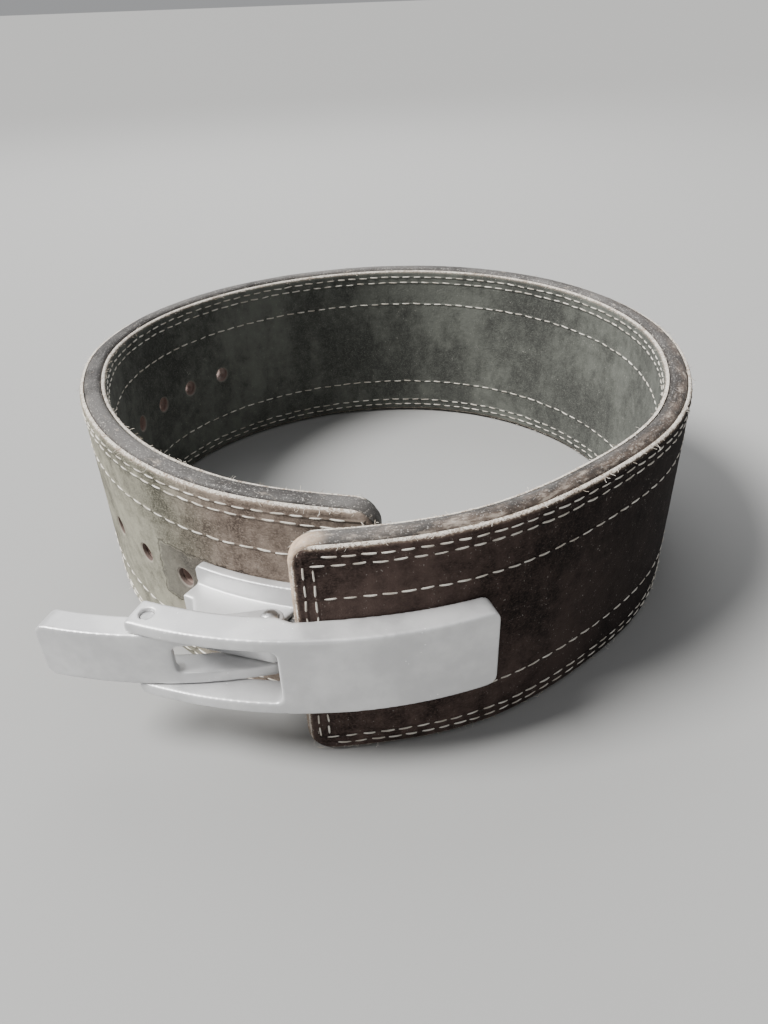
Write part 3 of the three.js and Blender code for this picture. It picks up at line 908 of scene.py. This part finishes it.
def punchFor(low, high, facing):
    # a round cutter whose flare leaves a lip on the face that shows
    radius, lip, past = holes["radius"], holes["lip"], holes["past"]
    below = [(0, low - past), (radius, low - past)]
    above = [(radius, high + past), (0, high + past)]
    if facing > 0:
        above = [(radius, high - lip), (radius + 0.25 * lip, high - 0.4 * lip), (radius + lip, high),
                 (radius + 2 * lip, high + past), (0, high + past)]
    if facing < 0:
        below = [(0, low - past), (radius + 2 * lip, low - past), (radius + lip, low),
                 (radius + 0.25 * lip, low + 0.4 * lip), (radius, low + lip)]
    return lathe("punch", below + above, holes["sides"], axis=(0, 1, 0))


for name, layer in leatherLayers.items():
    sheet = flatLayer(name, layer)
    punch = punchFor(layer["low"], layer["high"], layer["facing"])
    runTree(sheet, punchedLayer, {
        "Path": strapPath, "Punch": punch, "Pitch": holes["pitch"], "Middle": strap["height"] / 2,
        "First hole": strapLength - holes["fromInnerEnd"] - (holes["count"] - 1) * holes["pitch"],
        "Hole count": holes["count"], "First peg hole": holes["fromOuterEnd"],
        "Peg hole count": holes["pegCount"], "Material": layer["material"],
    })
    bpy.data.objects.remove(punch)
    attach(sheet, "strap")
    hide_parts(layer["node"])
note("leather layers")

sewing = {
    "rims": [
        {"inset": 0.0053, "turn": 0.0065, "rise": 0.0040},
        {"inset": 0.0088, "turn": -0.0010, "rise": 0.0012},
    ],
    "singleRow": 0.0228,
    "singleFromEnd": 0.014,
    "denseTo": 0.090,
    "threadRadius": 0.00038,
    "arch": 0.0007,
    "sunk": 0.00028,
    "wander": 0.00015,
    "rows": [
        {"name": "outer_stitches", "facing": 1, "dense": False, "pitch": 0.0075, "length": 0.0056},
        {"name": "outer_end_stitches", "facing": 1, "dense": True, "pitch": 0.0064, "length": 0.0049},
        {"name": "inner_stitches", "facing": -1, "dense": False, "pitch": 0.0075, "length": 0.0052},
        {"name": "inner_end_stitches", "facing": -1, "dense": True, "pitch": 0.0066, "length": 0.0049},
    ],
}


def sewRows(row, seed):
    face = 0 if row["facing"] > 0 else -strapThickness
    out = face - row["facing"] * sewing["sunk"]
    start = 0 if row["dense"] else sewing["denseTo"]
    end = sewing["denseTo"] if row["dense"] else strapLength
    points = []
    edges = []

    def sew(first, last):
        edges.append((len(points), len(points) + 1))
        points.extend([(first[0], out, first[1]), (last[0], out, last[1])])

    def along(fromEnd, height):
        first = max(start + 0.5 * row["pitch"], fromEnd)
        last = min(end - 0.5 * row["pitch"], strapLength - fromEnd)
        sew((first, height), (last, height))

    for rim in sewing["rims"]:
        low, top = rim["inset"], strap["height"] - rim["inset"]
        half = 0.5 * row["length"]
        for height in (low, top):
            along(low + rim["turn"] + half, height)
        across = low if row["dense"] else strapLength - low
        sew((across, low + rim["rise"] + half), (across, top - rim["rise"] - half))
    for height in (sewing["singleRow"], strap["height"] - sewing["singleRow"]):
        along(sewing["singleFromEnd"], height)
    obj = makeMesh(row["name"], points, [], edges)
    runTree(obj, stitchRows, {
        "Path": strapPath, "Pitch": row["pitch"], "Length": row["length"], "Seed": seed,
        "Thread radius": sewing["threadRadius"], "Arch": sewing["arch"], "Out": (0, row["facing"], 0),
        "Wander": sewing["wander"], "Material": thread,
    })
    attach(obj, "strap")


stitchRows = stitchTree()
for seed, row in enumerate(sewing["rows"]):
    sewRows(row, seed + 3)
note("stitches")

fuzz = {
    "perRim": 1700,
    "length": 0.0030,
    "thickness": 0.00009,
    "spread": 0.0006,
    "inset": 0.0022,
    "depth": 0.0012,
    "corner": 0.007,
}


def roundedLoop(inset, radius, out):
    right, top = strapLength - inset, strap["height"] - inset
    corners = [(right, inset, -90), (right, top, 0), (inset, top, 90), (inset, inset, 180)]
    points = []
    for x, z, start in corners:
        centre = (x - radius if x > inset else x + radius, z - radius if z > inset else z + radius)
        for i in range(7):
            angle = math.radians(start + 15 * i)
            points.append((centre[0] + radius * math.cos(angle), out, centre[1] + radius * math.sin(angle)))
    return points


def addFuzz():
    points = []
    edges = []
    for out in (-fuzz["depth"], fuzz["depth"] - strapThickness):
        loop = roundedLoop(fuzz["inset"], fuzz["corner"], out)
        start = len(points)
        points += loop
        edges += [(start + i, start + (i + 1) % len(loop)) for i in range(len(loop))]
    obj = makeMesh("rim_fibres", points, [], edges)
    runTree(obj, fibreTree(), {
        "Path": strapPath, "Count": fuzz["perRim"], "Length": fuzz["length"], "Thickness": fuzz["thickness"],
        "Spread": fuzz["spread"], "Seed": 5, "Material": rawFibre,
    })
    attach(obj, "strap")


addFuzz()
bpy.data.objects.remove(strapPath)
note("fibres")


casts = {
    "voxel": 0.00055,
    "smoothing": 11,
    "factor": 0.5,
    "pieces": {
        "base_casting": ("base_plate", "strap"),
        "handle_casting": ("handle", "lever"),
        "hook_casting": ("hook_plate", "hook"),
    },
}


def castCopy(name, node, body):
    obj = bpy.data.objects.new(name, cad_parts[node].data.copy())
    bpy.context.collection.objects.link(obj)
    rough = bmesh.new()
    rough.from_mesh(obj.data)
    bmesh.ops.remove_doubles(rough, verts=rough.verts, dist=1e-5)
    rough.to_mesh(obj.data)
    rough.free()
    remesh = obj.modifiers.new("even skin", "REMESH")
    remesh.mode = "VOXEL"
    remesh.voxel_size = casts["voxel"]
    remesh.use_smooth_shade = True
    tumble = obj.modifiers.new("tumbled", "SMOOTH")
    tumble.iterations = casts["smoothing"]
    tumble.factor = casts["factor"]
    bpy.context.view_layer.update()
    seen = bpy.context.evaluated_depsgraph_get()
    mesh = bpy.data.meshes.new_from_object(obj.evaluated_get(seen), depsgraph=seen)
    mesh.name = name
    obj.modifiers.clear()
    obj.data = mesh
    mesh.materials.clear()
    mesh.materials.append(casting)
    for face in mesh.polygons:
        face.use_smooth = True
    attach(obj, body)
    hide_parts(node)
    note(f"{name}: {len(mesh.polygons)} faces")


for name, (node, body) in casts["pieces"].items():
    castCopy(name, node, body)

pins = {
    "sides": 40,
    "domeSteps": 6,
    "base_rivet": {"node": "base_pin", "body": "strap", "radius": 0.0025, "head": 0.0033, "domed": 0.0019},
    "hook_rivet": {"node": "hook_pin", "body": "lever", "radius": 0.0025, "head": 0.0025, "domed": 0.0003},
}


def addRivet(name, pin):
    low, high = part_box(pin["node"])
    middle = [(a + b) / 2 for a, b in zip(low, high)]
    half = (high[2] - low[2]) / 2
    foot = half - pin["domed"]
    dome = []
    for i in range(pins["domeSteps"]):
        turn = math.pi / 2 * (i / pins["domeSteps"])
        dome.append((pin["head"] * math.cos(turn), foot + pin["domed"] * math.sin(turn)))
    dome.append((0, half))
    up = [(pin["radius"], foot)] + dome if pin["head"] > pin["radius"] else dome
    profile = [(radius, -rise) for radius, rise in reversed(up)] + up
    obj = lathe(name, profile, pins["sides"], middle)
    for face in obj.data.polygons:
        face.use_smooth = True
    obj.data.materials.append(turned)
    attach(obj, pin["body"])
    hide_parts(pin["node"])


for name in ("base_rivet", "hook_rivet"):
    addRivet(name, pins[name])

for node in ("screw_right", "screw_left"):
    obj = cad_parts[node]
    for slot in obj.material_slots:
        slot.material = turned
note("buckle")
